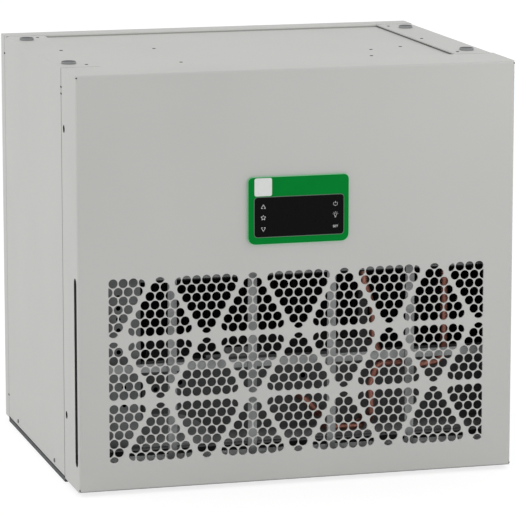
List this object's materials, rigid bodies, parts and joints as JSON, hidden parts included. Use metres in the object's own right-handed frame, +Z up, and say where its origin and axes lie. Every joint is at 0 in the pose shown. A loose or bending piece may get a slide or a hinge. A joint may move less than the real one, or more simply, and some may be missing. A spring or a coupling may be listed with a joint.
{
  "type": "roof-mounted enclosure cooling unit",
  "caption": "Light-grey sheet-metal cooling unit for the roof of an enclosure, with a punched front grille and a green keypad.",
  "frame": {"origin": "middle of the gasket's underside, at the centre of the unit's footprint", "axes": "+X to the right seen from the grille, -Y out of the grille, +Z up"},
  "size_m": [0.4436, 0.3648, 0.4158],
  "materials": {
    "paint": "satin",
    "inner_steel": "satin",
    "dark_steel": "matt",
    "coil": "matt",
    "copper": "satin",
    "foam": "matt",
    "plug": "matt",
    "keypad_green": "satin",
    "keypad_black": "gloss"
  },
  "bodies": {
    "root": {"front_cover": "paint", "left_side_panel": "paint", "right_side_panel": "paint", "rear_panel": "paint", "top_plate": "paint", "base_plate": "paint", "inlet_ring": "inner_steel", "keypad_frame": "keypad_green", "keypad_window": "keypad_black", "keypad_case": "keypad_black", "top_bar": "inner_steel", "cross_bar": "inner_steel", "bottom_bar": "inner_steel", "guard_bar_1": "inner_steel", "guard_bar_2": "inner_steel", "guard_bar_3": "inner_steel", "guard_bar_4": "inner_steel", "foam_strip": "foam", "control_box": "inner_steel", "evaporator_box": "dark_steel", "condenser_coil": "coil", "mounting_block_left": "dark_steel", "mounting_block_right": "dark_steel", "copper_pipe_1": "copper", "copper_pipe_2": "copper", "copper_pipe_3": "copper", "copper_pipe_4": "copper", "copper_pipe_5": "copper", "gasket_front": "foam", "gasket_rear": "foam", "gasket_left": "foam", "gasket_right": "foam", "lifting_plug_1": "plug", "lifting_plug_2": "plug", "lifting_plug_3": "plug", "lifting_plug_4": "plug"}
  },
  "joints": []
}
